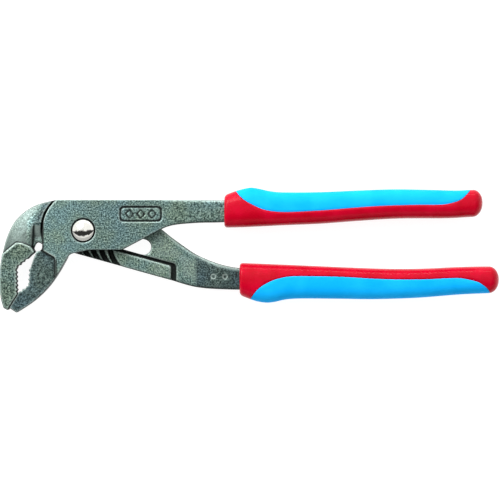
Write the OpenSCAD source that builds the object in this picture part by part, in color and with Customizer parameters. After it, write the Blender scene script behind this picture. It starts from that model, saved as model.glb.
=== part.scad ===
// Tongue and groove pliers with a V jaw and two-shot grips.
// They lie on their back, closed, with the tongue in the first groove.
// The pivot axis is the Z axis, and the handles run along +X.

/* [Pivot bolt] */
// Diameter of the bolt's domed head
head_d = 11; // [10:0.5:12]
// Height of the dome above the plate's front face
dome_h = 2.6; // [2:0.2:3]
// Diameter of the bolt's shank
shank_d = 7.6; // [7:0.1:7.6]
// Gap between the shank and the hole in the plate, on each side
shank_gap = 0.05; // [0.02:0.01:0.1]
// Diameter of the recess that the head sits in
recess_d = 12.4; // [12.2:0.2:13.4]
// Depth of that recess
recess_depth = 0.8; // [0.4:0.1:1.2]
// Diameter of the washer on the back
washer_d = 14; // [12:0.5:15]
// Distance across the flats of the nut
nut_flats = 12; // [11:0.5:13]

/* [Adjustment] */
// Downward slope of the slot towards the handles, in degrees
slot_slope = 15.6; // [15:0.2:16]
// Width of the slot
slot_w = 7.8; // [7.8:0.1:8.2]
// Distance from one groove to the next
groove_pitch = 4.9; // [4.8:0.05:5]
// Number of grooves
groove_count = 7; // [5:1:7]
// Radius of a groove's inner wall, about the bolt
groove_r = 13.7; // [13.5:0.1:14]
// Width of a groove
groove_w = 2.5; // [2.3:0.1:2.6]
// Gap between the tongue and each wall of its groove
tongue_gap = 0.15; // [0.1:0.05:0.3]

/* [Thickness] */
// Thickness of the nut
nut_t = 2.2; // [1.8:0.1:2.6]
// Thickness of the washer
washer_t = 0.75; // [0.6:0.05:0.9]
// Thickness of the slotted half around the slot
strip_t = 6; // [5.6:0.1:6.4]
// Thickness of the plate half around the bolt
plate_t = 5.9; // [5.5:0.1:6.3]
// Depth of the grooves
groove_depth = 2.6; // [2.4:0.1:3]
// How far the tongue reaches into its groove
tongue_h = 2.2; // [1.8:0.1:2.3]
// Thickness of both jaws
jaw_t = 9.6; // [9:0.2:10]
// Thickness of both handles inside the grips
tang_t = 6.6; // [6:0.2:7]

/* [Jaws] */
// Height of the gripping teeth
tooth_h = 0.8; // [0.4:0.05:0.9]
// Gap that is left between the closed jaw tips
tip_gap = 0.1; // [0.05:0.05:0.3]

/* [Grips] */
// Thickness of a grip at its middle
grip_t = 17; // [16:0.2:18]
// Extra thickness of a grip at its front guard
guard_t = 1; // [0:0.2:1]
// Depth of the soft inlay in the hard core
inlay_depth = 1.8; // [1.4:0.1:2]

/* [Hidden] */

steel = [0.42, 0.46, 0.45];
polished = [0.8, 0.8, 0.78];
red = [0.82, 0.03, 0.09];
blue = [0.1, 0.72, 0.95];

eps = 0.01;
slide_gap = 0.1;
washer_gap = 0.2;
arc_step = 12;
round_fn = 96;

// Levels above the surface that the pliers lie on
washer_z = nut_t;
strip_z = 3;
strip_top = strip_z + strip_t;
plate_z = strip_top + slide_gap;
plate_top = plate_z + plate_t;
middle_z = 9;
jaw_z = middle_z - jaw_t / 2;
jaw_top = jaw_z + jaw_t;
tang_z = middle_z - tang_t / 2;
tang_top = tang_z + tang_t;
channel_depth = 1.6;

// Ends of the ramp, in x and z, that lifts the slotted half's front face from the strip to the handle
ramp_start = [58.6, strip_top];
ramp_end = [68, tang_top];

// Distances below and above the slot's centre line, and the slot's length along it
bar_edge = 12.5;
strip_edge = 12.8;
slot_end = 31.7;
channel_edge = 4.1;
pad_edge = 5.4;
pad_end = 49.9;

// The plate's rounded end, the neck's clearance around it, and the x at which the neck's cheek ends
plate_r = 20.7;
sweep_r = plate_r + 1;
cheek_end = -13;
opening_angle = 50;
bar_normal = 270 - slot_slope;
jaw_clearance = bar_edge + 0.4;

// Ends of the line along which the jaw tips meet
tip_low = [-37.8, -39.4];
tip_high = [-33.4, -32.4];
tip_shift = tip_gap * [1, -0.6];

// ---- Helpers ----

// Vector of length 1 with the direction of v
function unit(v) = v / norm(v);

// Point at a distance along the slot, and a distance below its centre line
function on_slope(along, below) = [
    along * cos(slot_slope) - below * sin(slot_slope),
    -along * sin(slot_slope) - below * cos(slot_slope)
];

// Arc of radius r about the pivot axis
function arc(r, from, to) = [
    for (i = [0:1:ceil(abs(to - from) / 5)])
        let (a = from + (to - from) * i / ceil(abs(to - from) / 5))
        r * [cos(a), sin(a)]
];

// Arc that rounds the corner p between its neighbours a and b
function corner(a, p, b, r) =
    let (u = unit(a - p), v = unit(b - p), half = acos(u * v) / 2)
    let (centre = p + unit(u + v) * r / sin(half))
    let (first = p + u * r / tan(half) - centre, start = atan2(first.y, first.x))
    let (turn = sign(cross(p - a, b - p)) * (180 - 2 * half))
    let (n = ceil(abs(turn) / arc_step))
    [for (i = [0:n]) centre + r * [cos(start + turn * i / n), sin(start + turn * i / n)]];

// Outline whose corners are [x, y, radius], or [x, y] where they are sharp
function rounded(points) = [
    for (i = [0:len(points) - 1])
        let (n = len(points), p = points[i], a = points[(i + n - 1) % n], b = points[(i + 1) % n])
        each (len(p) == 3 ? corner([a.x, a.y], [p.x, p.y], [b.x, b.y], p[2]) : [p])
];

// Direction of a smooth curve at its point i
function tangent(points, i) =
    (points[min(i + 1, len(points) - 1)] - points[max(i - 1, 0)]) / 2;

// Smooth curve through a list of points
function curve(points, steps = 4) = [
    for (i = [0:len(points) - 2])
        for (s = [0:steps - 1])
            let (t = s / steps, a = tangent(points, i), b = tangent(points, i + 1))
            points[i] * (1 + 2 * t) * pow(1 - t, 2) + a * t * pow(1 - t, 2)
            + points[i + 1] * t * t * (3 - 2 * t) - b * t * t * (1 - t),
    points[len(points) - 1]
];

// Height of a smooth curve at x
function height_at(points, x) =
    let (last = len(points) - 2)
    let (i = min(last, max([0, for (k = [0:last]) if (points[k].x <= x) k])))
    let (p = points[i], q = points[i + 1], dx = q.x - p.x, t = (x - p.x) / dx)
    let (a = steepness(points, i) * dx, b = steepness(points, i + 1) * dx)
    p.y * (1 + 2 * t) * pow(1 - t, 2) + a * t * pow(1 - t, 2)
    + q.y * t * t * (3 - 2 * t) - b * t * t * (1 - t);

// Rise over run of such a curve at its point i
function steepness(points, i) =
    let (d = points[min(i + 1, len(points) - 1)] - points[max(i - 1, 0)])
    d.y / d.x;

// Row of n teeth from a to b, on the left of the way from a to b
function teeth(a, b, n) =
    let (pitch = (b - a) / n, crest = tooth_h * unit([a.y - b.y, b.x - a.x]))
    [for (i = [0:n - 1]) each [a + i * pitch, a + (i + 0.5) * pitch + crest]];

// Everything further than d from the pivot axis in the direction of an angle
module beyond(angle, d) {
    reach = 120;
    rotate(angle)
        translate([d, -reach / 2])
            square(reach);
}

// Solid between two levels
module slab(low, high) {
    translate([0, 0, low])
        linear_extrude(high - low)
            children();
}

// Outline in X and Z, carried over the whole width of the pliers
module side_profile(points) {
    width = 80;
    middle_y = -10;
    translate([0, width / 2 + middle_y, 0])
        rotate([90, 0, 0])
            linear_extrude(width)
                polygon(points);
}

// ---- Slotted half: outer jaw, neck, slotted strip, web and lower handle ----

neck_outside = curve([
    [-14, 15.6], [-22.5, 13.6], [-28, 11], [-32.2, 7.8], [-36.4, 2.7], [-40.2, -6.6],
    [-42.3, -18], [-42.6, -28], [-42, -34.5], [-40.6, -39.5]
]);
outer_teeth = concat(
    teeth(tip_high, [-33.8, -19.3], 6),
    teeth([-33.8, -19.3], [-28.4, -14.6], 3)
);
lower_handle_under = curve([
    on_slope(pad_end, bar_edge), [52.7, -27.9], [58, -29.1], [65, -29.8], [80, -30.3],
    [100, -30.2], [125, -30.4], [155, -30.6], [190, -29.6], [202, -29.2]
]);
lower_handle_over = curve([
    [202, -21.2], [190, -21.6], [155, -22.6], [125, -22], [100, -20.8], [80, -19.2],
    [73.5, -18.2], [68, -16.7], [63, -14.8], [57, -12], [51, -8], [45, -3.7],
    [40, 0.4]
]);

// Outline of the slotted half, in two pieces that overlap at the neck, with a round hole at the jaw's root
module slotted_outline() {
    root = [-23.1, -8];
    root_r = 1.8;
    polygon(concat(
        neck_outside,
        [[-38.4, -40.7], tip_low],
        outer_teeth,
        rounded([[-28.4, -14.6], [-26.3, -12.5], [-24.5, -11, 0.5], [-25.6, -9.2]])
    ));
    difference() {
        polygon(concat(
            [[-14, 15.5], [-6.4, 15], on_slope(-6.4, -strip_edge), on_slope(32, -strip_edge)],
            [for (i = [len(lower_handle_over) - 1:-1:0]) lower_handle_over[i]],
            [for (i = [len(lower_handle_under) - 1:-1:0]) lower_handle_under[i]],
            [on_slope(-19, bar_edge), [-23.5, -6.1], [-30, -10], [-31, 0], [-22, 11]]
        ));
        translate(root)
            circle(r = root_r, $fn = round_fn);
    }
}

// Area of the outer jaw, which stands proud of the neck
module outer_jaw_area() {
    polygon(rounded([
        [-45, -15], [-34.2, -6.1, 1], [-31, -6.4, 1], [-26.8, -8.2, 1],
        [-25, -10.6], [-24, -14], [-32, -45], [-45, -45]
    ]));
}

// Recess in the neck's cheek beside the plate, whose floor rises until it runs out
module cheek_recess() {
    rise = 26;
    foot_y = -3;
    reach = 60;
    intersection() {
        slab(strip_z, plate_top)
            polygon(rounded([
                [-12, 0], [-16, 14], [-22.4, 10.4, 3], [-25.6, 4, 4], [-26.2, -9.8, 1], [-22, -11]
            ]));
        translate([-reach, foot_y, strip_top])
            rotate([rise, 0, 0])
                translate([0, -reach / 2, 0])
                    cube([reach, reach, reach]);
    }
}

// The cheek: a rounded ridge that follows the outside of the neck
module cheek() {
    centre = [-14.5, -12];
    translate([centre.x, centre.y, 0])
        rotate_extrude($fn = round_fn)
            polygon([
                [6, strip_z], [6, 12.6], [16, 12.6], [19.5, 12.2], [23, 11.4],
                [26, 10.2], [28.5, 8.4], [30, 6.4], [30, strip_z]
            ]);
}

// Side view of the slotted half behind its jaw
module slotted_side() {
    side_profile([
        [-50, strip_z], [50, strip_z], [62, tang_z], [210, tang_z],
        [210, tang_top], ramp_end, ramp_start, [-50, strip_top]
    ]);
}

// The slot along which the bolt slides
module slot() {
    slab(strip_z - 1, plate_top)
        rotate(-slot_slope) {
            circle(d = slot_w, $fn = round_fn);
            translate([0, -slot_w / 2])
                square([slot_end, slot_w]);
            translate([slot_end, 0])
                circle(d = slot_w, $fn = round_fn);
        }
}

// One arc groove, centred on the bolt's place when the tongue is in it
module groove(k) {
    floor_z = strip_top - groove_depth;
    translate([k * groove_pitch, 0, 0])
        slab(floor_z, plate_top)
            intersection() {
                difference() {
                    circle(r = groove_r + groove_w, $fn = round_fn);
                    circle(r = groove_r, $fn = round_fn);
                }
                translate([-20, -bar_edge - 1])
                    square([20, bar_edge + 1 - slot_w / 2]);
            }
}

// Point at x on the line that lies a distance below the slot's centre line
function slope_at(x, below) = on_slope((x + below * sin(slot_slope)) / cos(slot_slope), below);

// Relief that parts the grooved bar from the web, and turns down at the bar's end
module channel() {
    end_x = on_slope(pad_end, bar_edge).x;
    end_w = 2.3;
    turn_r = 1.3;
    outer_turn = slope_at(end_x + end_w, channel_edge);
    slab(strip_top - channel_depth, plate_top)
        polygon(rounded([
            slope_at(-8, pad_edge), slope_at(-8, channel_edge),
            [outer_turn.x, outer_turn.y, turn_r], [end_x + end_w, -30], [end_x, -30],
            slope_at(end_x, pad_edge)
        ]));
}

// Ring stamped into a face at a place, where the face leans by an angle
module stamped_ring(place, lean) {
    ring_r = 1;
    line_r = 0.35;
    translate(place)
        rotate([0, -lean, 0])
            rotate_extrude($fn = round_fn)
                translate([ring_r, 0])
                    circle(r = line_r, $fn = 16);
}

// The slotted half as one forging
module slotted_jaw() {
    ring_x = 66.2;
    lean = atan2(ramp_end.y - ramp_start.y, ramp_end.x - ramp_start.x);
    color(steel)
    difference() {
        union() {
            intersection() {
                linear_extrude(plate_top)
                    difference() {
                        slotted_outline();
                        outer_jaw_area();
                    }
                slotted_side();
            }
            difference() {
                intersection() {
                    cheek();
                    slab(strip_z, plate_top)
                        difference() {
                            slotted_outline();
                            outer_jaw_area();
                            circle(r = sweep_r, $fn = round_fn);
                            beyond(0, cheek_end);
                        }
                }
                cheek_recess();
            }
            slab(jaw_z, jaw_top)
                intersection() {
                    slotted_outline();
                    outer_jaw_area();
                }
        }
        slot();
        channel();
        rotate(-slot_slope)
            for (k = [0:groove_count - 1])
                groove(k);
        stamped_ring([ring_x, -23.5, ramp_start.y + (ring_x - ramp_start.x) * tan(lean)], lean);
        stamped_ring([72.2, -23.7, tang_top], 0);
    }
}

// ---- Plate half: inner jaw, plate, tongue and upper handle ----

inner_teeth = concat(
    teeth(tip_high + tip_shift, [-27.5, -28.4], 3),
    teeth([-27.5, -28.4], [-26.9, -19.2], 4)
);
jaw_outside = curve([
    [-34, -41.9], [-28, -38.1], [-23.9, -35], [-19.8, -31.2], [-15.7, -26.4], [-11.7, -20.4]
], 3);
plate_under = curve([
    [39, 0.2], [42, 1.6], [46, 2.7], [52, 3.4], [60, 3.9], [72, 4.2], [85, 6],
    [110, 6.8], [140, 8.4], [165, 9.5], [194, 9.5]
]);
plate_over = curve([
    [194, 17.3], [165, 17.6], [140, 16.8], [110, 15.4], [85, 15.3], [72, 15.4], [60, 15.6]
]);

// Outline of the plate half, from its rounded end to the rear of its handle
module plate_outline() {
    polygon(concat(
        arc(plate_r, 131, 180),
        rounded([
            [-20.7, -3], [-20.9, -10.2, 2], [-23.8, -10.7], [-25.4, -14.6], [-26.9, -19.2]
        ]),
        [for (i = [len(inner_teeth) - 1:-1:0]) inner_teeth[i]],
        [tip_low + tip_shift],
        jaw_outside,
        rounded([[-11.7, -20.4], [-7.1, -12.1, 4], [3, -9.9, 10], [19.8, -9.9, 0.5], [39, 0.2]]),
        plate_under,
        plate_over
    ));
}

// Area of the inner jaw, whose front is lower than the plate's
module inner_jaw_area() {
    polygon(rounded([
        [-20.4, -10.4], [-14.4, -13.8, 0.8], [-14.2, -24], [-14.2, -50], [-45, -50],
        [-45, -20], [-24, -9]
    ]));
}

// Side view of the plate half behind its jaw
module plate_side() {
    side_profile([
        [-50, plate_z], [45, plate_z], [62, tang_z], [210, tang_z],
        [210, tang_top], [64, tang_top], [46, plate_top], [-50, plate_top]
    ]);
}

// The tongue, which turns in a groove about the pivot axis
module tongue() {
    reach = 30;
    first = 184;
    last = 212;
    slab(plate_z - tongue_h - slide_gap, plate_z + 1)
        intersection() {
            difference() {
                circle(r = groove_r + groove_w - tongue_gap, $fn = round_fn);
                circle(r = groove_r + tongue_gap, $fn = round_fn);
            }
            polygon([[0, 0], reach * [cos(first), sin(first)], reach * [cos(last), sin(last)]]);
        }
}

// Cutter with an outline's shape, from a depth below the plate's front face upward
module sunk(depth) {
    slab(plate_top - depth, plate_top + 1)
        children();
}

// Sunken panel on the plate, with a deeper line around it and three plain lozenges in it
module cartouche() {
    size = [21.6, 8];
    place = [29.3, 8.3];
    floor_depth = 0.25;
    line_depth = 0.65;
    line_w = 0.9;
    lozenge = [5, 5.4];
    lozenge_pitch = 5.7;
    translate(place) {
        sunk(floor_depth)
            panel(size);
        sunk(line_depth)
            difference() {
                panel(size);
                panel(size - 2 * line_w * [1, 1]);
            }
        sunk(line_depth)
            for (k = [-1:1])
                translate([k * lozenge_pitch, 0])
                    difference() {
                        diamond(lozenge);
                        diamond(lozenge - 2 * line_w * [1, 1]);
                    }
    }
}

// Four-cornered shape that stands on its corner
module diamond(size) {
    polygon([[size.x / 2, 0], [0, size.y / 2], [-size.x / 2, 0], [0, -size.y / 2]]);
}

// Rectangle with round corners
module panel(size) {
    r = size.y / 4;
    polygon(rounded([
        [-size.x / 2, -size.y / 2, r], [size.x / 2, -size.y / 2, r],
        [size.x / 2, size.y / 2, r], [-size.x / 2, size.y / 2, r]
    ]));
}

// The plate half as one forging
module plate_jaw() {
    color(steel)
    difference() {
        union() {
            intersection() {
                linear_extrude(plate_top)
                    difference() {
                        plate_outline();
                        inner_jaw_area();
                    }
                plate_side();
            }
            slab(plate_z, jaw_top)
                intersection() {
                    plate_outline();
                    inner_jaw_area();
                }
            slab(jaw_z, plate_z + 1)
                intersection() {
                    plate_outline();
                    beyond(bar_normal, jaw_clearance);
                    beyond(bar_normal - opening_angle, jaw_clearance);
                }
            tongue();
        }
        cylinder(d = shank_d + 2 * shank_gap, h = plate_top + 1, $fn = round_fn);
        translate([0, 0, plate_top - recess_depth])
            cylinder(d = recess_d, h = recess_depth + 1, $fn = round_fn);
        cartouche();
    }
}

// ---- Pivot bolt, nut and washer ----

// The bolt: a shank with a flat head under a dome
module pivot_bolt() {
    head_z = plate_top - recess_depth + shank_gap;
    rim_z = plate_top + 0.3;
    dome_top = plate_top + dome_h;
    rise = dome_top - rim_z;
    dome_r = (pow(head_d / 2, 2) + rise * rise) / (2 * rise);
    color(polished) {
        cylinder(d = shank_d, h = head_z + eps, $fn = round_fn);
        translate([0, 0, head_z])
            cylinder(d = head_d, h = rim_z - head_z, $fn = round_fn);
        intersection() {
            translate([0, 0, dome_top - dome_r])
                sphere(r = dome_r, $fn = round_fn);
            translate([0, 0, rim_z - eps])
                cylinder(d = head_d, h = rise + 1, $fn = round_fn);
        }
    }
}

// The six-sided nut on the back
module pivot_nut() {
    color(steel)
    difference() {
        cylinder(d = nut_flats / cos(30), h = nut_t, $fn = 6);
        translate([0, 0, -1])
            cylinder(d = shank_d, h = nut_t + 2, $fn = round_fn);
    }
}

// The washer between the nut and the slotted half
module slot_washer() {
    color(steel)
    translate([0, 0, washer_z])
        difference() {
            cylinder(d = washer_d, h = washer_t, $fn = round_fn);
            translate([0, 0, -1])
                cylinder(d = shank_d + 2 * washer_gap, h = washer_t + 2, $fn = round_fn);
        }
}

// ---- Grips ----

// A grip is [first x, last x, line above, line below, parting line, inlay from, inlay to, palm side],
// where the palm side is 1 when it faces +Y and -1 when it faces -Y
upper_grip = [
    71.8, 203.6,
    [[71.8, 18], [77.5, 20.1], [84.5, 21.8], [88, 21.6], [95, 20.1], [101, 19.5],
     [121, 19.6], [140, 20.4], [158, 21], [178, 20.7], [190, 20.4], [199, 20.8], [204, 21]],
    [[71.8, 1.4], [78, 1.5], [86, 1.8], [100, 2.5], [121, 3.4], [140, 4.8],
     [160, 6], [186, 6.2], [197, 6.8], [204, 7.2]],
    [[77, 20.9], [80.3, 16.9], [84, 14.2], [91, 10.8], [97, 9.5], [104, 9.2], [122, 10.1],
     [147, 12.1], [170, 12.9], [182, 13], [187, 13.8], [192.4, 15.9], [197.4, 20.9]],
    77.6, 197, 1
];
lower_grip = [
    79.6, 211.9,
    [[79.6, -16.5], [92, -17], [111, -17.8], [141, -19.1], [158, -19.6], [172, -19.5],
     [190, -18.7], [200, -18.4], [212, -18.3]],
    [[79.6, -33], [85, -35.1], [89, -36.3], [93.5, -36.9], [97.5, -36.5], [103, -35.3],
     [110, -34.8], [130, -34.9], [148, -35.1], [170, -34.4], [192, -32.7], [207, -32],
     [212, -31.8]],
    [[84, -36.6], [87.4, -31.7], [90.4, -28.8], [94, -26.6], [98, -24.9], [104, -23.5],
     [111, -23.2], [130, -23.5], [148, -24.5], [161, -24.9], [174, -24.8], [189, -24.2],
     [194, -24.6], [201, -26.5], [205, -29.3], [207.5, -32.2]],
    85.2, 206.8, -1
];

// Rounding of a grip's two ends, and the shape of its thickness along its length
front_round = 1.6;
rear_round = 5;
waist = 0.5;
waist_way = 60;
guard_way = 14;
guard_spread = 9;

// Shape and fineness of a grip's sections
squareness = 0.72;
core_sides = 14;
inlay_sides = 8;
inlay_steps = 22;
least_turn = 8;
witness = 0.05;

// Powers of a sine or a cosine that make a section squarer than an ellipse
function squared(value) = sign(value) * pow(abs(value), squareness);
function unsquared(value) = sign(value) * pow(min(1, abs(value)), 1 / squareness);

// Middle and half height of a grip's section at x
function section_middle(grip, x) = (height_at(grip[2], x) + height_at(grip[3], x)) / 2;
function section_half(grip, x) = (height_at(grip[2], x) - height_at(grip[3], x)) / 2;

// Half the thickness of a grip, a given way behind its front: a slight waist, and a guard near the front
function half_thickness(way) =
    let (slimmer = waist * sin(180 * min(1, way / waist_way)))
    let (thicker = guard_t / 2 * exp(-pow((way - guard_way) / guard_spread, 2)))
    grip_t / 2 - slimmer + thicker;

// How much the sections draw in at the front, and the scale of the sections at the rear
function front_inset(way) =
    let (d = max(0, front_round - way))
    front_round - sqrt(pow(front_round, 2) - d * d);
function rear_scale(way) =
    let (d = max(0, 1 - way / rear_round))
    sqrt(1 - d * d);

// Point of a section, at a turn from the middle of the palm side
function section_point(grip, x, inset, turn) =
    let (way = x - grip[0], size = rear_scale(grip[1] - x), drawn = inset + front_inset(way))
    let (half_y = section_half(grip, x) - drawn, half_z = half_thickness(way) - drawn)
    [x, section_middle(grip, x) + grip[7] * size * half_y * squared(cos(turn)),
     middle_z + grip[7] * size * half_z * squared(sin(turn))];

// Part of a section, from one turn to another
function section_arc(grip, x, inset, from, to, sides) =
    [for (j = [0:sides]) section_point(grip, x, inset, from + (to - from) * j / sides)];

// Turn at which a section crosses the parting line
function parting_turn(grip, x) =
    let (rise = grip[7] * (height_at(grip[4], x) - section_middle(grip, x)) / section_half(grip, x))
    x < grip[5] || x > grip[6] ? least_turn : max(least_turn, acos(unsquared(rise)));

// Closed solid through a list of sections that have the same number of points
module loft(sections) {
    n = len(sections[0]);
    last = len(sections) - 1;
    walls = [
        for (i = [0:last - 1])
            for (j = [0:n - 1])
                let (a = i * n + j, b = i * n + (j + 1) % n)
                each [[a, b, b + n], [a, b + n, a + n]]
    ];
    caps = [[for (j = [n - 1:-1:0]) j], [for (j = [0:n - 1]) last * n + j]];
    polyhedron([for (s = sections) each s], concat(walls, caps));
}

// Places of the sections along the inlay, closest together near its ends
function inlay_stations(grip) = [
    for (i = [0:inlay_steps]) grip[5] + (grip[6] - grip[5]) * (1 - cos(180 * i / inlay_steps)) / 2
];

// The soft inlay: a skin over the palm side, as far as the parting line
module inlay(grip) {
    loft([
        for (x = inlay_stations(grip))
            let (turn = parting_turn(grip, x))
            concat(
                section_arc(grip, x, 0, -turn, turn, inlay_sides),
                section_arc(grip, x, inlay_depth, turn, -turn, inlay_sides)
            )
    ]);
}

// The hard core, with the inlay's seat in its palm side
module seated_core(grip) {
    before = [for (way = [0, 0.5, 1.6, 3.5]) grip[0] + way];
    behind = [for (way = [3.6, 2.2, 1, 0.3]) grip[1] - way];
    seat = inlay_stations(grip);
    all_stations = concat(before, [grip[5] - witness], seat, [grip[6] + witness], behind);
    loft([
        for (x = all_stations)
            let (turn = parting_turn(grip, x))
            let (depth = x < grip[5] || x > grip[6] ? witness : inlay_depth)
            concat(
                section_arc(grip, x, 0, turn, 360 - turn, core_sides),
                section_arc(grip, x, depth, -turn, turn, inlay_sides)
            )
    ]);
}

// The hard core, hollowed by the handle that is moulded into it
module grip_core(grip) {
    difference() {
        seated_core(grip);
        slab(tang_z, tang_top)
            children();
    }
}

// The four pieces of the two grips
module upper_grip_core() {
    color(red)
        grip_core(upper_grip)
            plate_outline();
}

module upper_grip_inlay() {
    color(blue)
        inlay(upper_grip);
}

module lower_grip_core() {
    color(red)
        grip_core(lower_grip)
            slotted_outline();
}

module lower_grip_inlay() {
    color(blue)
        inlay(lower_grip);
}

slotted_jaw();
plate_jaw();
pivot_bolt();
pivot_nut();
slot_washer();
upper_grip_core();
upper_grip_inlay();
lower_grip_core();
lower_grip_inlay();
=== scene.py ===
# Looks of the tongue and groove pliers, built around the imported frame.
# Blender works in metres. The pieces are measured in millimetres, which MM turns into metres.
# The pivot axis is the Z axis, the handles run along +X, and the pliers lie on their back on z = 0.
import math

import bmesh
import bpy
import numpy as np
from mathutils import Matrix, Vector


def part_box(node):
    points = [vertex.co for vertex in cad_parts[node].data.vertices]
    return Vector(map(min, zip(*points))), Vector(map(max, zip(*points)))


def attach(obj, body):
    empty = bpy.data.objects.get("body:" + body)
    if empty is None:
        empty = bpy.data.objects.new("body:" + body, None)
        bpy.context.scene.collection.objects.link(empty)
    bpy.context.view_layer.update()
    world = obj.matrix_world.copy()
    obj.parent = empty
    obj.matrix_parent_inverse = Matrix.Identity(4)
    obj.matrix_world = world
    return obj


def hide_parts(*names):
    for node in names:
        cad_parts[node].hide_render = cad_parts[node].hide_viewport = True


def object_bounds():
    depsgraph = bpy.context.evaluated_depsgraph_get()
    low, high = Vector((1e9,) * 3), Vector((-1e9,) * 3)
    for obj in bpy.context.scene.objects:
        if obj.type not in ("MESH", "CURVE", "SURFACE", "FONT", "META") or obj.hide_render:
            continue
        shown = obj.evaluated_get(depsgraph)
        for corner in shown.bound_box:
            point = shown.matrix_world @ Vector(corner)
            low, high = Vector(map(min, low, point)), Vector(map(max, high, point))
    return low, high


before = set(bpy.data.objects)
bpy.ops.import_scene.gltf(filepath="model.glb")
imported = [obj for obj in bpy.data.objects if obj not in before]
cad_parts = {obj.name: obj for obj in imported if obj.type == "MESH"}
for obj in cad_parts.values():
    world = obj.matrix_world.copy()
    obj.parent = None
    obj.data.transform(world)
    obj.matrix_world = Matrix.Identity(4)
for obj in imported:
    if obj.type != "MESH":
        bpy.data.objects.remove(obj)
CAD_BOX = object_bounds()
MM = 0.001

# ---- Meshes ----


def new_object(name, mesh):
    piece = bpy.data.objects.new(name, mesh)
    bpy.context.scene.collection.objects.link(piece)
    return piece


def mesh_from(name, points, faces):
    """Mesh from points and faces, with every face turned outward."""
    mesh = bpy.data.meshes.new(name)
    mesh.from_pydata([tuple(p) for p in points], [], faces)
    work = bmesh.new()
    work.from_mesh(mesh)
    bmesh.ops.recalc_face_normals(work, faces=work.faces)
    work.to_mesh(mesh)
    work.free()
    return mesh


def shade(mesh, crease=180):
    """Smooth shading, broken at edges that turn by more than crease degrees."""
    mesh.polygons.foreach_set("use_smooth", [True] * len(mesh.polygons))
    if crease < 180:
        mesh.set_sharp_from_angle(angle=math.radians(crease))


def finish_piece(piece, material, body, node):
    piece.data.materials.clear()
    piece.data.materials.append(material)
    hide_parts(node)
    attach(piece, body)


def welded_copy(node):
    """The CAD node's mesh as one closed skin."""
    work = bmesh.new()
    work.from_mesh(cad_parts[node].data)
    bmesh.ops.remove_doubles(work, verts=work.verts, dist=0.001 * MM)
    mesh = bpy.data.meshes.new(node + "_skin")
    work.to_mesh(mesh)
    work.free()
    return mesh


def applied(piece):
    """The piece's mesh with its modifiers applied."""
    graph = bpy.context.evaluated_depsgraph_get()
    mesh = bpy.data.meshes.new_from_object(piece.evaluated_get(graph))
    piece.modifiers.clear()
    return mesh


def positions(mesh):
    points = np.zeros(len(mesh.vertices) * 3)
    mesh.vertices.foreach_get("co", points)
    return points.reshape(-1, 3)


def normals(mesh):
    directions = np.zeros(len(mesh.vertices) * 3, np.float32)
    mesh.vertex_normals.foreach_get("vector", directions)
    return directions.reshape(-1, 3)


def set_positions(mesh, points):
    mesh.vertices.foreach_set("co", points.ravel())
    mesh.update()


def add_attribute(mesh, name, values):
    attribute = mesh.attributes.new(name, "FLOAT", "POINT")
    attribute.data.foreach_set("value", np.asarray(values, np.float32))


def ramp(values, low, high):
    """0 below low and 1 above high, with a smooth step between them."""
    t = np.clip((values - low) / (high - low), 0, 1)
    return t * t * (3 - 2 * t)


# ---- The two forgings ----

VOXEL = {"slotted_jaw": 0.325 * MM, "plate_jaw": 0.3 * MM}
HALF_WAY = 0.5
EDGE_PASSES, SOFT_PASSES, CURVE_PASSES = 5, 40, 20
TOOTH_CREST_KEPT = 0.8
HIDDEN_FROM = {"slotted_jaw": 93 * MM, "plate_jaw": 85 * MM}
HIDDEN_ANGLE = math.radians(4)
BENT_MM = (0.02, 0.12)

# Places on the forgings, in millimetres from the pivot axis, and heights above the floor
STRIP_TOP = 9.0
RING_MIDDLES = [(66.2, -23.5), (72.2, -23.5)]
RING_R = 1.0
TIP_LINE = (-37.8, -39.4), (-33.4, -32.4)
OUTER_JAW_CORNER = (-34.2, -6.1)
OUTER_JAW_SLOPES = (0.824, -0.28)
SLOT_SLOPE = math.radians(15.6)
CHANNEL_RIM = 3.8
PANEL_MIDDLE, PANEL_REACH = (29.3, 8.3), (12, 4.6)
BOLT_RECESS = (6.1, 6.4)
STEP_START, STEP_SLOPE = (-20.4, -10.4), -0.567
STEP_TILT, STEP_TOP = 0.88, 14.5
JAW_RIM_X = -15.9
SEAM_R, SEAM_GROWTH = 21.8, 0.2
CHEEK_END, CHEEK_LEAN = -28.4, 0.8

# Spans over which wear, dirt, painted highlights and painted shade fade in or out: of the way that the skin
# faces, and in millimetres
FACES_UP, LIES_STEEP, LIES_ASLANT = (0.2, 0.6), (0.25, 0.65), (0.06, 0.3)
TEETH_X, TEETH_Y = (24, 26), (13, 15)
SLIDE_TOP, HANDLE_START, HANDLE_SOFT = (9.2, 9.8), (40, 45), (36, 54)
GROOVES_TOP, GROOVES_END = (8.3, 8.8), (60, 62)
SEAM_START, SEAM_FADE, SEAM_TOP = (19.5, 20.3), (0, 0.4), (12.5, 13)
RECESS_TOP, RECESS_LIT, RECESS_END = (11.5, 12), (-3.8, -3.2), (-21.7, -21.4)
NECK_SHADE, NECK_Y = (22.5, 29), (3, 6)
WEB_START, LOW_START = (34, 38), (56, 58.5)
FOOT_TOP, FOOT_FADE = (13, 13.5), (-0.9, -0.4)


class Skin:
    """A forging's points, in millimetres from the pivot axis, and the way that it faces at each."""

    def __init__(self, points, directions=None):
        self.x, self.y, self.z = (points / MM).T
        self.radius = np.hypot(self.x, self.y)
        if directions is not None:
            self.away, self.up = directions[:, 1], directions[:, 2]


def window(values, rise, fall):
    """1 between two smooth steps, up over the pair rise and down over the pair fall."""
    return ramp(values, *rise) * (1 - ramp(values, *fall))


def line_share(distance, solid, faded):
    """1 within a distance of a line, and 0 from another distance on."""
    return 1 - ramp(np.abs(distance), solid, faded)


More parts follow.
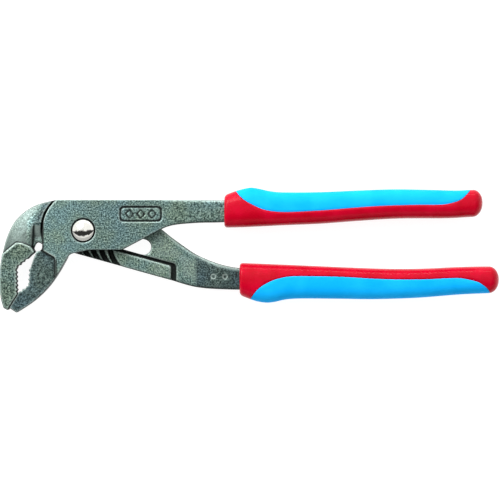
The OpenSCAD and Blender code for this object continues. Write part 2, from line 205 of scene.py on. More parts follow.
def relax(points, edges, weights, passes):
    """Moves each point towards the middle of its neighbours, by its weight."""
    count = len(points)
    ends = np.concatenate([edges, edges[:, ::-1]])
    degree = np.bincount(ends[:, 0], minlength=count)
    for _ in range(passes):
        sums = [np.bincount(ends[:, 0], points[ends[:, 1], k], count) for k in range(3)]
        middle = np.stack([s / degree for s in sums], 1)
        points = points + weights[:, None] * (middle - points)
    return points


def mesh_edges(mesh):
    edges = np.zeros(len(mesh.edges) * 2, int)
    mesh.edges.foreach_get("vertices", edges)
    return edges.reshape(-1, 2)


def add_curvature(mesh, edges, points):
    """Attributes for how far the skin stands out or in from its own smoothed shape: bare metal with a
    painted highlight on outward bends that face the lights, and painted shade in inward bends.
    """
    smooth = relax(points, edges, np.full(len(points), HALF_WAY), CURVE_PASSES)
    directions = normals(mesh)
    out = np.einsum("ij,ij->i", directions, points - smooth) / MM
    lit = ramp(directions[:, 1], -0.4, 0.1)
    # Painted highlight with edge wear: outward bends lighten only where they face the lights
    add_attribute(mesh, "edge_wear_and_highlight", ramp(out, *BENT_MM) * lit)
    # Painted shade: inward bends darken where shade gathers
    add_attribute(mesh, "crease", ramp(-out, *BENT_MM))


def thin_hidden(mesh, start):
    """Joins the small flat faces of the part that the grip covers."""
    work = bmesh.new()
    work.from_mesh(mesh)
    verts = [v for v in work.verts if v.co.x > start]
    edges = [e for e in work.edges if all(v.co.x > start for v in e.verts)]
    bmesh.ops.dissolve_limit(work, angle_limit=HIDDEN_ANGLE, verts=verts, edges=edges)
    work.to_mesh(mesh)
    work.free()


def forged_mesh(node, rounding):
    """The CAD node's shape with a forging's rounded edges, and few faces on the tang inside the grip."""
    piece = new_object(node + "_work", welded_copy(node))
    remesh = piece.modifiers.new("remesh", "REMESH")
    remesh.mode = "VOXEL"
    remesh.voxel_size = VOXEL[node]
    mesh = applied(piece)
    bpy.data.objects.remove(piece)
    edges, points = mesh_edges(mesh), positions(mesh)
    points = relax(points, edges, HALF_WAY * rounding(Skin(points)), EDGE_PASSES)
    points = relax(points, edges, HALF_WAY * handle_softness(Skin(points)), SOFT_PASSES)
    set_positions(mesh, points)
    add_curvature(mesh, edges, points)
    thin_hidden(mesh, HIDDEN_FROM[node])
    shade(mesh)
    return mesh


def slotted_rounding(skin):
    """How far the skin may round off: the cut teeth keep sharper crests than the rest of the forging."""
    teeth = ramp(-skin.y, *TEETH_Y) * ramp(-skin.x, *TEETH_X)
    return 1 - TOOTH_CREST_KEPT * teeth


def plate_rounding(skin):
    """As on the other half, but the tongue and the faces that slide on that half stay as they are."""
    above_slide, handle = ramp(skin.z, *SLIDE_TOP), ramp(skin.x, *HANDLE_START)
    return slotted_rounding(skin) * np.maximum(above_slide, handle)


def handle_softness(skin):
    """The handles have rounder edges than the head, but their stamped rings stay crisp."""
    return ramp(skin.x, *HANDLE_SOFT) * (1 - ring_share(skin, RING_R, 0.45, 0.7))


def ring_share(skin, radius, solid, faded):
    """1 near a circle of that radius round each stamped mark on the lower handle, and 0 away from it."""
    middles = [np.hypot(skin.x - x, skin.y - y) for x, y in RING_MIDDLES]
    return line_share(np.minimum(*middles) - radius, solid, faded) * (skin.z > 10)


def tip_line(skin):
    """1 along the line where the jaw tips meet, and 0 away from it."""
    start, end = (np.array(place) for place in TIP_LINE)
    length = np.linalg.norm(end - start)
    way = (end - start) / length
    offset = np.stack([skin.x, skin.y], 1) - start
    along = np.clip(offset @ way, 0, length)
    return line_share(np.linalg.norm(offset - along[:, None] * way, axis=1), 0.3, 0.65)


def handle_edge_highlight(skin):
    """Share of painted highlight on the handle edges that face away from the jaws' mouth, towards the
    lights.
    """
    return ramp(skin.away, 0.2, 0.5) * ramp(skin.up, 0.05, 0.3) * ramp(skin.x, 34, 44)


def side_shade_share(skin):
    """Share of painted shade on the side faces, most on those that face the jaws' mouth, away from the
    lights, and least on the handles.
    """
    on_head, on_handle = 0.6, 0.3
    lean = 1 - np.abs(skin.up)
    toward = ramp(-skin.away, 0.1, 0.5) * ramp(lean, *LIES_ASLANT)
    most = on_head + (on_handle - on_head) * handle_softness(skin)
    return np.maximum(toward, most * ramp(lean, *LIES_STEEP))


def in_outer_jaw(skin):
    """How far a point lies inside the outer jaw's raised area."""
    corner_x, corner_y = OUTER_JAW_CORNER
    rises = [corner_y + (skin.x - corner_x) * slope for slope in OUTER_JAW_SLOPES]
    return np.minimum(*rises) - skin.y


def channel_rim(skin):
    """1 along the web's rim above the channel that parts it from the grooved bar; the rim is lightened as
    worn metal with a painted highlight on its edge.
    """
    above_slot = -skin.x * math.sin(SLOT_SLOPE) - skin.y * math.cos(SLOT_SLOPE)
    rim = line_share(above_slot - CHANNEL_RIM, 0.25, 0.5) * window(skin.x, (26, 28), (46.4, 47))
    return rim * (skin.z > 8)


def low_handle(skin):
    """1 on the lower handle, which is darker than the web."""
    return ramp(skin.x, *LOW_START)


def beyond_seam(skin):
    """1 outside the neck's clearance round the plate's end, and 0 inside it."""
    seam_edge = SEAM_R + SEAM_GROWTH * ramp(skin.y, 4, 8)
    return ramp(skin.radius - seam_edge, *SEAM_FADE)


def near_seam(skin):
    """The neck's shaded part beside that clearance."""
    on_neck = ramp(skin.y, *NECK_Y) * (skin.x < -5) * (skin.z > STRIP_TOP)
    return (1 - ramp(skin.radius, *NECK_SHADE)) * on_neck


def slotted_grime_and_shade(skin, jaw):
    """Painted shade in the grooves and channel, in the seam round the plate, at the jaw's foot and beside
    the cheek's step in the neck's recess, darker lines where the jaw tips meet and in the rings' middles, a
    darker lower handle, and the neck's shaded part near the seam.
    """
    under_jaw = 1 - ramp(skin.z, *FOOT_TOP)
    # Painted shade on the floors of the grooves and the channel
    shaded_floors = ramp(skin.up, *FACES_UP) * (1 - ramp(skin.z, *GROOVES_TOP)) * (1 - ramp(skin.x, *GROOVES_END))
    # Painted shadow in the clearance round the plate's end
    seam_shadow = ramp(skin.radius, *SEAM_START) * (1 - beyond_seam(skin)) * (skin.x < -5)
    seam_shadow *= 1 - ramp(skin.z, *SEAM_TOP)
    # Painted shade at the foot of the outer jaw's raised area
    foot_shade = ramp(jaw, *FOOT_FADE) * under_jaw * (skin.x < -20)
    # Painted shadow on the cheek's flank beside its step
    cheek_step_shade = ramp(skin.x, -28.4, -26.3) * (skin.x < -25.9) * ramp(-skin.y, -4, 1)
    cheek_step_shade *= ramp(skin.z, 9.6, 10.2) * under_jaw
    return np.maximum.reduce([
        shaded_floors, seam_shadow, 0.85 * foot_shade, 0.7 * cheek_step_shade, 0.8 * tip_line(skin),
        0.5 * ring_share(skin, 0, 0.4, 0.8), 0.2 * low_handle(skin), 0.35 * near_seam(skin),
    ])


def slotted_rub_and_highlight(skin):
    """Painted highlights on the handle's edges that face the lights, painted light on the recess's floor, a
    lighter web, worn metal with a painted highlight on the channel's rim, and lighter rims round the rings.
    """
    in_recess = (skin.y > -9) * (skin.y < 6) * (skin.x > -26) * (skin.x < -18)
    # Painted light on the recess's floor, which lies in the plate's shade, most towards its upper end
    lit_recess_floor = beyond_seam(skin) * (1 - ramp(skin.z, *RECESS_TOP)) * (1 - ramp(skin.x, *RECESS_END))
    lit_recess_floor *= in_recess * (0.3 + 0.65 * ramp(skin.y, *RECESS_LIT))
    web = ramp(skin.x, *WEB_START) * (1 - low_handle(skin)) * (skin.z > STRIP_TOP)
    rings = ring_share(skin, 1.15, 0.15, 0.45)
    return np.maximum.reduce([handle_edge_highlight(skin), lit_recess_floor, 0.17 * web, 0.9 * channel_rim(skin), 0.9 * rings])


def slotted_attributes(skin):
    """Shares of dirt with painted shade, polish, bare metal with painted highlights, darker tone with
    painted shade near the seam, warmer tone, and painted shade on the sides of the slotted half.
    """
    jaw = in_outer_jaw(skin)
    on_jaw = ramp(jaw, -0.2, 0.2) * (skin.x < -20)
    bright_end = CHEEK_END + CHEEK_LEAN * np.maximum(skin.y - 5, 0)
    cheek = ramp(skin.z, 9.1, 9.8) * ramp(-jaw, 0, 0.4) * (skin.x < -12)
    web = ramp(skin.x, 30, 38) * (1 - low_handle(skin))
    return {
        "grime_and_shade": slotted_grime_and_shade(skin, jaw),
        "polish": cheek * (1 - ramp(skin.x - bright_end, -1.5, 2)),
        "rub_and_highlight": slotted_rub_and_highlight(skin),
        "tone_and_shade": 0.3 * on_jaw + low_handle(skin) + near_seam(skin),
        "warm": on_jaw + 0.35 * web,
        # Painted shade on the steep side faces
        "side": side_shade_share(skin),
    }


def plate_grime_and_shade(skin):
    """Painted shade in the recess round the bolt's head, darker panel lines, a darker line where the jaw
    tips meet, and painted shadow on the plate's end and beside the jaw's step.
    """
    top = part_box("plate_jaw")[1].z / MM
    # Painted shade on the floor of the recess round the bolt's head
    head_recess_shade = ramp(skin.up, *FACES_UP) * (1 - ramp(skin.radius, *BOLT_RECESS)) * ramp(skin.z, 10, 11)
    lines = ramp(top - skin.z, 0.26, 0.4) * ramp(skin.z, 13, 14)
    for place, middle, reach in zip((skin.x, skin.y), PANEL_MIDDLE, PANEL_REACH):
        lines *= np.abs(place - middle) < reach
    # Painted shadow along the plate's end, beside the clearance
    end = ramp(-skin.x, 19.8, 20.1) * ramp(skin.z, 13, 13.5) * window(skin.y, (-11, -10), (3, 6))
    # Painted shadow beside the step down to the inner jaw
    step = window(skin.x, (-14.6, -14.2), (-13.4, -12.9)) * ramp(-skin.y, 14.3, 15) * (skin.z > STEP_TOP)
    return np.maximum.reduce([head_recess_shade, 0.9 * lines, 0.8 * tip_line(skin), end, 0.85 * step])


def plate_rub_and_highlight(skin):
    """Painted highlights on the handle's edges that face the lights, along the step above the inner jaw and
    on the jaw's own rim.
    """
    start_x, start_y = STEP_START
    above = STEP_TILT * (skin.y - start_y - STEP_SLOPE * (skin.x - start_x))
    # Painted highlight along the edge of the step above the inner jaw
    step = window(above, (0, 0.2), (0.5, 0.8)) * window(skin.x, (-21, -20), (-14.4, -13.8))
    # Painted highlight on the inner jaw's rim
    rim = line_share(skin.x - JAW_RIM_X, 0.2, 0.5) * window(-skin.y, (14.5, 16), (23, 24.5))
    rim *= (skin.z > 14) * (skin.z < STEP_TOP)
    return np.maximum.reduce([handle_edge_highlight(skin), 1.3 * step * (skin.z > STEP_TOP), 0.5 * rim])


def plate_attributes(skin):
    """The same shares for the plate half, which has no polished or warm area."""
    jaw = ramp(-skin.z, -14.5, -14.1) * ramp(-skin.x, 12.5, 14) * ramp(-skin.y, 9, 11)
    none = np.zeros(len(skin.x))
    return {
        "grime_and_shade": plate_grime_and_shade(skin),
        "polish": none,
        "rub_and_highlight": plate_rub_and_highlight(skin),
        "tone_and_shade": 0.95 * jaw + 0.28 * window(skin.x, (-12, 8), (36, 52)),
        "warm": none,
        # Painted shade on the steep side faces
        "side": side_shade_share(skin),
    }


def forging(name, node, body, rounding, attributes, material):
    """A forging's piece, with the shares of wear, dirt, painted highlight and painted shade that its
    material reads as attributes.
    """
    mesh = forged_mesh(node, rounding)
    skin = Skin(positions(mesh), normals(mesh))
    for attribute, values in attributes(skin).items():
        add_attribute(mesh, attribute, values)
    finish_piece(new_object(name, mesh), material, body, node)


# ---- Bolt, nut and washer ----

TURNS, NUT_TURNS = 160, 240
SHANK_R = 3.8
BOLT_END = [(0.3, 0.25), (1.2, 0.12), (SHANK_R - 0.5, 0), (SHANK_R - 0.1, 0.12), (SHANK_R, 0.5)]
BOLT_SEAT, BOLT_RIM, BOLT_EDGE = 14.25, 15.3, 0.22
DOME_START, DOME_TIP, DOME_STEPS = 1.2, 89.9, 40
WASHER_R, WASHER_EDGE = 4.0, 0.15
NUT_EDGE, NUT_BEVEL, NUT_FACE_INSET = 0.3, 0.1, 0.35
NUT_CHAMFER = math.radians(30)
NUT_SIDE = math.radians(60)


def turned(turn, profile_mm):
    """The points of a (radius, height) profile, turned about the Z axis."""
    return [(r * MM * math.cos(turn), r * MM * math.sin(turn), h * MM) for r, h in profile_mm]


def lathe(name, profile_mm):
    """Closed solid of revolution about the Z axis, from a profile of (radius, height)."""
    closed = profile_mm[0] == profile_mm[-1]
    heights = profile_mm[:-1] if closed else profile_mm
    points = [turned(math.tau * i / TURNS, [place])[0] for place in heights for i in range(TURNS)]
    rings, faces = len(profile_mm), []
    for k in range(rings - 1):
        a, b = k * TURNS, (k + 1) % len(heights) * TURNS
        for i in range(TURNS):
            j = (i + 1) % TURNS
            faces.append((a + i, a + j, b + j, b + i))
    if not closed:
        faces.append(tuple(range(TURNS)))
        faces.append(tuple(range((rings - 1) * TURNS, rings * TURNS)))
    return mesh_from(name, points, faces)


def arc_mm(centre, radius, start, end, steps):
    """Points of an arc in a profile, between two angles in degrees."""
    angles = [math.radians(start + (end - start) * i / steps) for i in range(steps + 1)]
    return [(centre[0] + radius * math.cos(a), centre[1] + radius * math.sin(a)) for a in angles]


def fastener(name, node, mesh, crease, material):
    shade(mesh, crease)
    finish_piece(new_object(name, mesh), material, "pivot_carriage", node)


def pivot_bolt(material):
    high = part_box("pivot_bolt")[1]
    head_r, top = high.x / MM, high.z / MM
    rise = top - BOLT_RIM
    dome_r = (head_r ** 2 + rise ** 2) / (2 * rise)
    slope = math.degrees(math.asin(head_r / dome_r))
    side = [
        (SHANK_R, BOLT_SEAT), (head_r - BOLT_EDGE, BOLT_SEAT),
        (head_r, BOLT_SEAT + BOLT_EDGE), (head_r, BOLT_RIM - BOLT_EDGE),
    ]
    dome = arc_mm((0, top - dome_r), dome_r, 90 - slope + DOME_START, DOME_TIP, DOME_STEPS)
    mesh = lathe("pivot_bolt_skin", BOLT_END + side + dome)
    fastener("domed_bolt", "pivot_bolt", mesh, 32, material)


def slot_washer(material):
    low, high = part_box("slot_washer")
    outer, under, over = high.x / MM, low.z / MM, high.z / MM
    inner, edge = WASHER_R, WASHER_EDGE
    profile = [
        (inner, under + edge), (inner + edge, under), (outer - edge, under),
        (outer, under + edge), (outer, over - edge), (outer - edge, over),
        (inner + edge, over), (inner, over - edge), (inner, under + edge),
    ]
    mesh = lathe("slot_washer_skin", profile)
    fastener("flat_washer", "slot_washer", mesh, 30, material)


def nut_profile(turn, half_flats, thickness):
    """The nut's closed profile at a turn, with its bearing face chamfered to a circle."""
    hexagon = half_flats / math.cos(turn % NUT_SIDE - NUT_SIDE / 2)
    face_r = half_flats - NUT_FACE_INSET
    rise = (hexagon - face_r) * math.tan(NUT_CHAMFER)
    return [
        (SHANK_R, NUT_EDGE), (SHANK_R + NUT_EDGE, 0), (face_r, 0), (hexagon, rise),
        (hexagon, thickness - NUT_BEVEL), (hexagon - NUT_BEVEL, thickness), (SHANK_R, thickness),
    ]


def pivot_nut(material):
    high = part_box("pivot_nut")[1]
    half_flats, thickness = high.y / MM, high.z / MM
    turns = [math.tau * i / NUT_TURNS for i in range(NUT_TURNS)]
    profiles = [turned(turn, nut_profile(turn, half_flats, thickness)) for turn in turns]
    count, faces = len(profiles[0]), []
    for i in range(NUT_TURNS):
        a, b = i * count, (i + 1) % NUT_TURNS * count
        for k in range(count):
            m = (k + 1) % count
            faces.append((a + k, b + k, b + m, a + m))
    mesh = mesh_from("pivot_nut_skin", [p for profile in profiles for p in profile], faces)
    fastener("hex_nut", "pivot_nut", mesh, 20, material)


# ---- Grips ----

UPPER = {
    "front": 71.8, "rear": 203.6, "inlay": (77.6, 197.0), "palm": 1,
    "over": [(71.8, 18), (77.5, 20.1), (84.5, 21.8), (88, 21.6), (95, 20.1), (101, 19.5),
             (121, 19.6), (140, 20.4), (158, 21), (178, 20.7), (190, 20.4), (199, 20.8), (204, 21)],
    "under": [(71.8, 1.4), (78, 1.5), (86, 1.8), (100, 2.5), (121, 3.4), (140, 4.8),
              (160, 6), (186, 6.2), (197, 6.8), (204, 7.2)],
    "parting": [(77, 20.9), (80.3, 16.9), (84, 14.2), (91, 10.8), (97, 9.5), (104, 9.2),
                (122, 10.1), (147, 12.1), (170, 12.9), (182, 13), (187, 13.8), (192.4, 15.9),
                (197.4, 20.9)],
}
LOWER = {
    "front": 79.6, "rear": 211.9, "inlay": (85.2, 206.8), "palm": -1,
    "over": [(79.6, -16.5), (92, -17), (111, -17.8), (141, -19.1), (158, -19.6),
             (172, -19.5), (190, -18.7), (200, -18.4), (212, -18.3)],
    "under": [(79.6, -33), (85, -35.1), (89, -36.3), (93.5, -36.9), (97.5, -36.5),
              (103, -35.3), (110, -34.8), (130, -34.9), (148, -35.1), (170, -34.4),
              (192, -32.7), (207, -32), (212, -31.8)],
    "parting": [(84, -36.6), (87.4, -31.7), (90.4, -28.8), (94, -26.6), (98, -24.9),
                (104, -23.5), (111, -23.2), (130, -23.5), (148, -24.5), (161, -24.9),
                (174, -24.8), (189, -24.2), (194, -24.6), (201, -26.5), (205, -29.3),
                (207.5, -32.2)],
}
MIDDLE_Z = 9.0
GRIP_T = 17.0
WAIST_T, WAIST_END = 0.5, 60
GUARD_T, GUARD_AT, GUARD_REACH = 1.0, 14, 9
FRONT_ROUND, REAR_ROUND = 1.6, 5.0
SQUARENESS = 0.72
INLAY_DEPTH = 1.8
SEAM_DEPTH, SEAM_WIDTH = 0.28, 0.45
SEAM_PLACES, SEAM_LIMIT = (0, 0.12, 0.25, SEAM_WIDTH, 0.8), 0.4
LEAST_TURN = math.radians(8)
CORE_SIDES, INLAY_SIDES = 72, 40
STATION_STEP, LIP_STEPS, REAR_STEPS = 0.6, 8, 24
SEAT_GAP, REAR_GAP, REAR_CLEAR = 0.02, 0.1, 0.002
GRIP_CREASE = 40
INLAY_END, INLAY_END_PLACES = 3, (0, 0.05, 0.15, 0.3, 0.5, 0.8, 1.1, 1.5, 2, 2.5)


def height_at(line, x):
    """Height of a smooth curve through a line's points, at x."""
    last = len(line) - 1
    i = max([0] + [k for k in range(last) if line[k][0] <= x])

    def steepness(k):
        (x0, y0), (x1, y1) = line[max(k - 1, 0)], line[min(k + 1, last)]
        return (y1 - y0) / (x1 - x0)

    (x0, y0), (x1, y1) = line[i], line[i + 1]
    width = x1 - x0
    t = (x - x0) / width
    start, end = steepness(i) * width, steepness(i + 1) * width
    near = y0 * (1 + 2 * t) * (1 - t) ** 2 + start * t * (1 - t) ** 2
    return near + y1 * t * t * (3 - 2 * t) - end * t * t * (1 - t)


def power(value, exponent):
    """The value's size to a power, with the value's sign."""
    return math.copysign(abs(value) ** exponent, value)


def half_thickness(way):
    """Half the thickness at a distance from the front, with a thick guard and a slim waist."""
    waist = WAIST_T * math.sin(math.pi * min(1, way / WAIST_END))
    return GRIP_T / 2 - waist + GUARD_T / 2 * math.exp(-(((way - GUARD_AT) / GUARD_REACH) ** 2))


def front_inset(way):
    """How far the rounded front edge draws in."""
    d = max(0, FRONT_ROUND - way)
    return FRONT_ROUND - math.sqrt(FRONT_ROUND ** 2 - d * d)


def rear_scale(way):
    """Size of the section at a distance from the rounded rear end."""
    d = max(0, 1 - way / REAR_ROUND)
    return math.sqrt(max(0, 1 - d * d))


def section(grip, x):
    """Middle, half height, half thickness, scale and rounding of the section at x."""
    over, under = height_at(grip["over"], x), height_at(grip["under"], x)
    way, left = x - grip["front"], grip["rear"] - x
    middle, half_y = (over + under) / 2, (over - under) / 2
    return middle, half_y, half_thickness(way), rear_scale(left), front_inset(way)


def section_point(grip, x, shape, inset, turn):
    """Point of a section at a turn from the palm side, inset from the grip's skin."""
    middle, half_y, half_z, size, drawn = shape
    side = grip["palm"] * size
    y = middle + side * (half_y - inset - drawn) * power(math.cos(turn), SQUARENESS)
    z = MIDDLE_Z + side * (half_z - inset - drawn) * power(math.sin(turn), SQUARENESS)
    return (x * MM, y * MM, z * MM)


def parting_turn(grip, x, shape):
    """Turn from the palm side to the line where the inlay meets the core."""
    if not grip["inlay"][0] <= x <= grip["inlay"][1]:
        return LEAST_TURN
    rise = grip["palm"] * (height_at(grip["parting"], x) - shape[0]) / shape[1]
    rise = max(-1, min(1, rise))
    return max(LEAST_TURN, math.acos(power(rise, 1 / SQUARENESS)))


def seam_turns(start, end, sides, radius):
    """Turns from start to end, closest together at both ends, and the seam's depth at each."""
    step = math.copysign(1, end - start)
    span = abs(end - start)
    offsets = [min(place / radius, span * SEAM_LIMIT * place) for place in SEAM_PLACES]
    inner = [offsets[-1] + (span - 2 * offsets[-1]) * i / sides for i in range(1, sides)]
    ways = offsets + inner + [span - o for o in reversed(offsets)]
    turns = [start + step * w for w in ways]
    depths = [SEAM_DEPTH * max(0, 1 - min(w, span - w) * radius / SEAM_WIDTH) for w in ways]
    return turns, depths


def spread(start, end, step):
    """Even places from start to just before end, at most a step apart."""
    count = max(1, math.ceil((end - start) / step))
    return [start + (end - start) * i / count for i in range(count)]


def stations(grip):
    """Places of the core's sections, closest together at its rounded ends."""
    front, rear = grip["front"], grip["rear"]
    before, after = grip["inlay"][0] - SEAT_GAP, grip["inlay"][1] + SEAT_GAP
    lip = [front + FRONT_ROUND * (1 - math.cos(math.pi / 2 * i / LIP_STEPS)) for i in range(LIP_STEPS)]
    body = spread(front + FRONT_ROUND, before, STATION_STEP) + [before]
    tail = spread(after, rear - REAR_ROUND, STATION_STEP)
    end = [rear - REAR_ROUND * (1 - math.sin(math.pi / 2 * i / REAR_STEPS)) for i in range(REAR_STEPS)]
    if after > rear - REAR_ROUND:
        tail, end = [after], [x for x in end if x > grip["inlay"][1] + REAR_GAP]
    return lip + body + inlay_stations(grip) + tail + end + [rear - REAR_CLEAR]


def inlay_stations(grip):
    """Places of the inlay's sections, closest together at its ends."""
    (first, last), ends = grip["inlay"], INLAY_END_PLACES
    middle = spread(first + INLAY_END, last - INLAY_END, STATION_STEP) + [last - INLAY_END]
    return [first + place for place in ends] + middle + [last - place for place in reversed(ends)]


def loft(name, rings):
    """Closed solid through rings that have the same number of points."""
    sides, faces = len(rings[0]), []
    for k in range(len(rings) - 1):
        for i in range(sides):
            j = (i + 1) % sides
            faces.append((k * sides + i, k * sides + j, (k + 1) * sides + j, (k + 1) * sides + i))
    last = (len(rings) - 1) * sides
    faces += [tuple(range(sides)), tuple(range(last, last + sides))]
    return mesh_from(name, [p for ring in rings for p in ring], faces)


def core_ring(grip, x):
    """The core's outline at x: its skin and, between the inlay's ends, the seat under the inlay."""
    shape = section(grip, x)
    turn = parting_turn(grip, x, shape)
    seated = grip["inlay"][0] <= x <= grip["inlay"][1]
    depth = INLAY_DEPTH if seated else 0
    turns, dips = seam_turns(turn, math.tau - turn, CORE_SIDES, shape[1])
    dips = dips if seated else [0] * len(dips)
    skin = [section_point(grip, x, shape, dip, t) for t, dip in zip(turns, dips)]
    steps = [-turn + 2 * turn * i / INLAY_SIDES for i in range(INLAY_SIDES + 1)]
    if not seated:
        steps = [-turn + 2 * turn * (i + 1) / (INLAY_SIDES + 2) for i in range(INLAY_SIDES + 1)]
    return skin + [section_point(grip, x, shape, depth, t) for t in steps]


def inlay_ring(grip, x):
    """The inlay's outline at x: its skin and its underside."""
    shape = section(grip, x)
    turn = parting_turn(grip, x, shape)
    turns, dips = seam_turns(-turn, turn, INLAY_SIDES, shape[1])
    skin = [section_point(grip, x, shape, dip, t) for t, dip in zip(turns, dips)]
    steps = [turn - 2 * turn * i / INLAY_SIDES for i in range(INLAY_SIDES + 1)]
    return skin + [section_point(grip, x, shape, INLAY_DEPTH, t) for t in steps]


def hollow(piece, node):
    """Takes the handle's own shape out of a core."""
    cutter = new_object(node + "_cutter", welded_copy(node))
    cut = piece.modifiers.new("pocket", "BOOLEAN")
    cut.operation = "DIFFERENCE"
    cut.solver = "EXACT"
    cut.object = cutter
    piece.data = applied(piece)
    bpy.data.objects.remove(cutter)


def grip_core(name, grip, node, handle, body, material):
    piece = new_object(name, loft(name + "_skin", [core_ring(grip, x) for x in stations(grip)]))
    hollow(piece, handle)
    shade(piece.data, GRIP_CREASE)
    finish_piece(piece, material, body, node)


def grip_inlay(name, grip, node, body, material):
    mesh = loft(name + "_skin", [inlay_ring(grip, x) for x in inlay_stations(grip)])
    shade(mesh, GRIP_CREASE)
    finish_piece(new_object(name, mesh), material, body, node)


# ---- Materials ----

GRAIN = [(0.36, (0.012, 0.022, 0.022)), (0.5, (0.105, 0.172, 0.162)), (0.66, (0.35, 0.47, 0.44))]
BLOTCH = [(0.36, (0.86, 0.98, 1.06)), (0.64, (1.0, 1.0, 0.86))]
# The tone share darkens by tint, with painted shade near the seam
SHADES = [("tone_and_shade", (0.42, 0.44, 0.5)), ("warm", (0.95, 0.89, 0.78))]
CHEEK = [(0.3, (0.08, 0.108, 0.1)), (0.7, (0.136, 0.176, 0.164))]
# Light steel for bare metal and painted highlights
BARE_METAL_AND_HIGHLIGHT = (0.42, 0.52, 0.49)
# Dark colours for painted shade on the sides and in inward bends, and for grime with painted shade
DIRT_AND_SHADE = [
    ("side", 0.85, (0.012, 0.016, 0.016)),
    ("crease", 0.75, (0.01, 0.013, 0.013)),
    ("grime_and_shade", 0.92, (0.006, 0.008, 0.008)),
]
CHROME = [(0.3, (0.79, 0.79, 0.76)), (0.7, (0.7, 0.71, 0.69))]
TURNED_STEEL = [(0.35, (0.2, 0.23, 0.22)), (0.65, (0.42, 0.46, 0.44))]
RED = [(0.35, (0.42, 0.0008, 0.012)), (0.65, (0.51, 0.0015, 0.022))]
BLUE = [(0.35, (0.002, 0.37, 0.88)), (0.65, (0.006, 0.42, 0.94))]
FLOOR_GREY = [(0.3, (0.2, 0.2, 0.2)), (0.7, (0.23, 0.23, 0.23))]
FLOOR_GLOW = 0.93


class Nodes:
    """A node tree whose nodes are added and joined in short lines."""

    def __init__(self, tree, coordinates):
        self.tree = tree
        self.place = self.node("ShaderNodeTexCoord").outputs[coordinates]

    def node(self, kind, **settings):
        made = self.tree.nodes.new(kind)
        for key, value in settings.items():
            setattr(made, key, value)
        return made

    def put(self, socket, value):
        """A link where value is another node's output, and a plain setting where it isn't."""
        if isinstance(value, bpy.types.NodeSocket):
            self.tree.links.new(value, socket)
        else:
            socket.default_value = value

    def clouds(self, scale, detail=2.0, roughness=0.5, place=None):
        made = self.node("ShaderNodeTexNoise")
        self.put(made.inputs["Vector"], place or self.place)
        self.put(made.inputs["Scale"], scale)
        self.put(made.inputs["Detail"], detail)
        self.put(made.inputs["Roughness"], roughness)
        return made.outputs["Fac"]

    def math(self, operation, a, b=0.0):
        made = self.node("ShaderNodeMath", operation=operation)
        self.put(made.inputs[0], a)
        self.put(made.inputs[1], b)
        return made.outputs[0]

    def colours(self, value, stops):
        """A colour ramp through the stops, which are pairs of a place and a colour."""
        made = self.node("ShaderNodeValToRGB")
        elements = made.color_ramp.elements
        while len(elements) < len(stops):
            elements.new(0.5)
        for element, (place, colour) in zip(elements, stops):
            element.position = place
            element.color = (*colour, 1)
        self.put(made.inputs["Fac"], value)
        return made.outputs["Color"]


class Shader(Nodes):
    """A material, with sizes in millimetres."""

    def __init__(self, name):
        self.material = bpy.data.materials.new(name)
        self.material.use_nodes = True
        super().__init__(self.material.node_tree, "Object")
        self.surface = self.tree.nodes["Principled BSDF"]

    def set(self, **values):
        for key, value in values.items():
            self.put(self.surface.inputs[key.replace("_", " ")], value)

    def noise(self, size_mm, detail=2.0, roughness=0.5, place=None):
        return self.clouds(1 / (size_mm * MM), detail, roughness, place)

    def cells(self, size_mm):
        made = self.node("ShaderNodeTexVoronoi")
        self.put(made.inputs["Vector"], self.place)
        self.put(made.inputs["Scale"], 1 / (size_mm * MM))
        return made.outputs["Distance"]

    def band(self, value, low, high, to_low=0.0, to_high=1.0):
        made = self.node("ShaderNodeMapRange")
        for key, item in zip(("Value", "From Min", "From Max", "To Min", "To Max"),
                             (value, low, high, to_low, to_high)):
            self.put(made.inputs[key], item)
        return made.outputs["Result"]

    def mix(self, share, a, b, blend="MIX"):
        made = self.node("ShaderNodeMix", data_type="RGBA", blend_type=blend)
        self.put(made.inputs["Factor"], share)
        for socket, value in zip((made.inputs[6], made.inputs[7]), (a, b)):
            self.put(socket, (*value, 1) if isinstance(value, tuple) else value)
        return made.outputs[2]

    def tinted(self, share, colour, tint):
        """The colour, multiplied by a tint where the share is 1."""
        return self.mix(share, colour, self.mix(1.0, colour, tint, "MULTIPLY"))

    def attribute(self, name, strength=None):
        share = self.node("ShaderNodeAttribute", attribute_name=name).outputs["Fac"]
        return share if strength is None else self.math("MULTIPLY", share, strength)

    def bump(self, height, distance_mm, strength=1.0, base=None):
        made = self.node("ShaderNodeBump")
        self.put(made.inputs["Height"], height)
        self.put(made.inputs["Distance"], distance_mm * MM)
        self.put(made.inputs["Strength"], strength)
        if base:
            self.put(made.inputs["Normal"], base)
        return made.outputs["Normal"]


def forged_colour(s, grain):
    """Grain and blotches of tone, then the polished cheek, bare metal with painted highlights on worn edges,
    and dirt with painted shade.
    """
    blotch = s.noise(size_mm=14, detail=3, roughness=0.55)
    base = s.mix(1.0, s.colours(grain, GRAIN), s.colours(blotch, BLOTCH), "MULTIPLY")
    for name, tint in SHADES:
        base = s.tinted(s.attribute(name), base, tint)
    base = s.mix(s.attribute("polish", 0.9), base, s.colours(grain, CHEEK))
    # Bare metal and painted highlights
    bare_and_highlight = s.math("MAXIMUM", s.attribute("edge_wear_and_highlight", 0.5), s.attribute("rub_and_highlight", 0.75))
    base = s.mix(bare_and_highlight, base, BARE_METAL_AND_HIGHLIGHT)
    # Painted shade and dirt
    for name, strength, colour in DIRT_AND_SHADE:
        base = s.mix(s.attribute(name, strength), base, colour)
    return base


